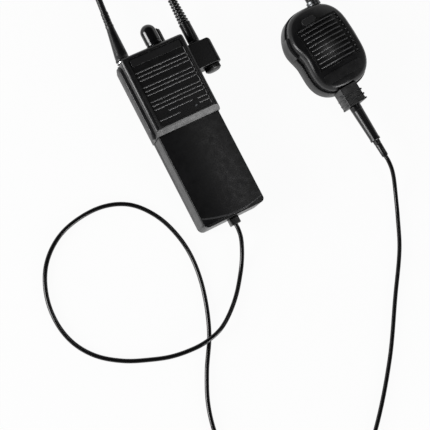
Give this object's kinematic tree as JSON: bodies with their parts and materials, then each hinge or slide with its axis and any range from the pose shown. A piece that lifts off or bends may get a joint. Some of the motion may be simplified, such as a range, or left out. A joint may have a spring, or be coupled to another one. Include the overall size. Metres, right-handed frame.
{
  "type": "scanner radio",
  "caption": "Hand-held scanner radio lying on its back, with antenna, top controls, side talk key and a side connector, wired to a domed speaker microphone",
  "frame": {"origin": "middle of the radio's flat back, on the table", "axes": "+X across the radio to the side connector, +Y along it to the antenna, +Z out of its front"},
  "size_m": [0.4129, 0.6404, 0.0387],
  "materials": {
    "case_black": "fine leathery texture",
    "head_black": "fine texture, edges a little polished",
    "panel_black": "smooth satin",
    "cloth_black": "woven",
    "plate_grey": "satin, bare",
    "lens_clear": "polished",
    "knob_gloss": "polished",
    "knob_matte": "knurled",
    "key_rubber": "smooth matt",
    "soft_black": "smooth, a little shiny",
    "lead_black": "glossy jacket",
    "steel_dark": "blackened",
    "steel_bright": "turned",
    "nickel": "polished plating",
    "brass": "turned",
    "board_green": "lacquered",
    "tray_grey": "moulded",
    "cell_grey": "shrink sleeve",
    "mic_black": "fine texture",
    "mic_front_black": "fine texture, satin"
  },
  "bodies": {
    "radio": {"rear_case": "case_black", "head_cover": "head_black", "body_cover": "case_black", "base_cap": "case_black", "base_gland": "soft_black", "grille_panel": "panel_black", "speaker_cloth": "cloth_black", "label_plate": "plate_grey", "status_lens": "lens_clear", "radio_speaker": "steel_dark", "circuit_board": "board_green", "rf_shield": "nickel", "battery_tray": "tray_grey", "battery_cells": "cell_grey", "cell_contacts": "brass", "case_screws": "steel_dark", "base_screws": "steel_dark", "clip_inserts": "brass", "ptt_seal": "soft_black", "ptt_switch": "tray_grey", "volume_pot": "steel_dark", "selector_switch": "steel_dark", "antenna_bush": "nickel", "antenna_base": "soft_black", "antenna_whip": "soft_black", "side_socket": "brass", "connector_block": "panel_black", "cable_boot": "soft_black", "ribbed_relief": "soft_black", "mic_rear_shell": "mic_black", "mic_gasket": "soft_black", "mic_front_shell": "mic_front_black", "mic_label_plate": "plate_grey", "mic_speaker": "steel_dark", "mic_board": "board_green", "mic_capsule": "nickel", "mic_ptt_switch": "tray_grey", "mic_button_switch": "tray_grey", "mic_screws": "steel_dark", "mic_cord_block": "soft_black", "mic_strain_relief": "soft_black", "mic_crimp": "soft_black", "mic_top_collar": "steel_dark", "mic_top_boot": "soft_black", "lead_main": "lead_black", "lead_upper": "lead_black"},
    "talk_key": {"ptt_pad": "key_rubber"},
    "volume_control": {"volume_shaft": "steel_bright", "volume_knob": "knob_gloss"},
    "selector_control": {"selector_shaft": "steel_bright", "selector_knob": "knob_matte"},
    "coin_fastener": {"coin_screw": "knob_matte"},
    "mic_talk_key": {"mic_ptt_bar": "key_rubber"},
    "mic_pill": {"mic_button": "key_rubber"}
  },
  "joints": [
    {"name": "talk_key_press", "type": "slide", "parent": "radio", "child": "talk_key", "axis": [1, 0, 0], "range_m": [0, 0.0012], "stiffness_N_per_m": 1500, "springref_m": -0.0005},
    {"name": "volume_turn", "type": "hinge", "parent": "radio", "child": "volume_control", "pos_m": [0.007, 0.094, 0.027], "axis": [0, -1, 0], "range_deg": [0, 270]},
    {"name": "selector_turn", "type": "hinge", "parent": "radio", "child": "selector_control", "pos_m": [0.016, 0.094, 0.011], "axis": [0, -1, 0], "range_deg": [0, 330]},
    {"name": "coin_turn", "type": "hinge", "parent": "radio", "child": "coin_fastener", "pos_m": [0.0527, 0.054, 0.02], "axis": [0, -1, 0], "range_deg": [0, 90]},
    {"name": "mic_talk_press", "type": "slide", "parent": "radio", "child": "mic_talk_key", "axis": [0.9976, 0.0698, 0], "range_m": [0, 0.0012], "stiffness_N_per_m": 1200, "springref_m": -0.0005},
    {"name": "mic_pill_press", "type": "slide", "parent": "radio", "child": "mic_pill", "axis": [0, 0, -1], "range_m": [0, 0.0008], "stiffness_N_per_m": 1000, "springref_m": -0.0005}
  ]
}
